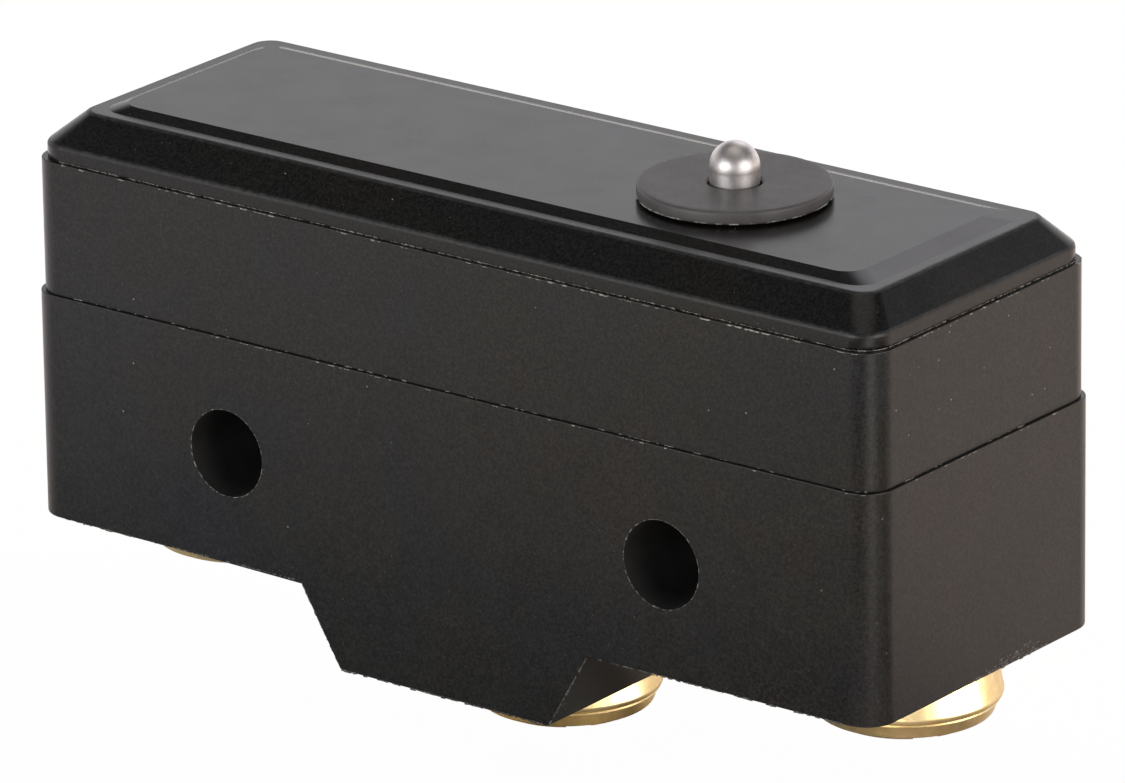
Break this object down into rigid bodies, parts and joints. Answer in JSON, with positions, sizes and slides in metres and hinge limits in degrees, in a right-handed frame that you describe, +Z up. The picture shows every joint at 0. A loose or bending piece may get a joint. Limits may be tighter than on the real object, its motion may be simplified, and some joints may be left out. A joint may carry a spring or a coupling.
{
  "type": "limit switch",
  "caption": "Snap-action limit switch in a black moulded case with two through mounting holes, a pin plunger on top and brass screw terminals underneath.",
  "frame": {"origin": "midway between the two mounting holes, on their axes, at half the depth", "axes": "+X towards the plunger's end, -Y out of the front face, +Z up along the plunger"},
  "size_m": [0.0492, 0.0174, 0.0296],
  "materials": {
    "phenolic": "satin moulded phenolic",
    "guide_plastic": "satin black",
    "gasket_rubber": "matte",
    "stainless": "turned and polished",
    "follower_plastic": "satin brown phenolic",
    "strap_brass": "rolled",
    "screw_brass": "bright",
    "plated_steel": "zinc plated",
    "spring_copper": "rolled beryllium copper",
    "contact_silver": "bright silver"
  },
  "bodies": {
    "housing": {"base": "phenolic", "middle_case": "phenolic", "cover": "phenolic", "case_screws": "plated_steel", "plunger_guide": "guide_plastic", "guide_gasket": "gasket_rubber", "com_insert": "strap_brass", "no_insert": "strap_brass", "nc_insert": "strap_brass", "com_plate": "strap_brass", "blade_anchor": "strap_brass", "anchor_pin": "plated_steel", "pivot_bracket": "strap_brass", "pivot_rivet": "plated_steel", "no_strap": "strap_brass", "no_contact": "contact_silver", "nc_strap": "strap_brass", "nc_contact": "contact_silver"},
    "plunger": {"pin_plunger": "stainless", "plunger_follower": "follower_plastic"},
    "blade": {"snap_blade": "spring_copper", "moving_contact": "contact_silver"},
    "com_clamp": {"com_cup_washer": "screw_brass"},
    "com_terminal_screw": {"com_screw": "screw_brass"},
    "no_clamp": {"no_cup_washer": "screw_brass"},
    "no_terminal_screw": {"no_screw": "screw_brass"},
    "nc_clamp": {"nc_cup_washer": "screw_brass"},
    "nc_terminal_screw": {"nc_screw": "screw_brass"}
  },
  "joints": [
    {"name": "plunger_press", "type": "slide", "parent": "housing", "child": "plunger", "axis": [0, 0, 1], "range_m": [-0.0006, 0], "stiffness_N_per_m": 2000, "springref_m": 0.0006},
    {"name": "blade_swing", "type": "hinge", "parent": "housing", "child": "blade", "pos_m": [0.0189, 0, 0.00785], "axis": [0, 1, 0], "range_deg": [-1.75, 0]},
    {"name": "com_clamp_open", "type": "slide", "parent": "housing", "child": "com_clamp", "axis": [0, 0, -1], "range_m": [0, 0.0021]},
    {"name": "com_screw_turn", "type": "hinge", "parent": "com_clamp", "child": "com_terminal_screw", "pos_m": [0.01995, 0, -0.005], "axis": [0, 0, -1], "range_deg": [0, 1081]},
    {"name": "no_clamp_open", "type": "slide", "parent": "housing", "child": "no_clamp", "axis": [0, 0, -1], "range_m": [0, 0.0021]},
    {"name": "no_screw_turn", "type": "hinge", "parent": "no_clamp", "child": "no_terminal_screw", "pos_m": [0.0004, 0, -0.005], "axis": [0, 0, -1], "range_deg": [0, 1081]},
    {"name": "nc_clamp_open", "type": "slide", "parent": "housing", "child": "nc_clamp", "axis": [0, 0, -1], "range_m": [0, 0.0021]},
    {"name": "nc_screw_turn", "type": "hinge", "parent": "nc_clamp", "child": "nc_terminal_screw", "pos_m": [-0.01915, 0, -0.005], "axis": [0, 0, -1], "range_deg": [0, 1081]}
  ],
  "couplings": [
    {"joint": "blade_swing", "follows": "plunger_press", "rad_per_m": 50.673},
    {"joint": "com_screw_turn", "follows": "com_clamp_open", "rad_per_m": 8976},
    {"joint": "no_screw_turn", "follows": "no_clamp_open", "rad_per_m": 8976},
    {"joint": "nc_screw_turn", "follows": "nc_clamp_open", "rad_per_m": 8976}
  ]
}
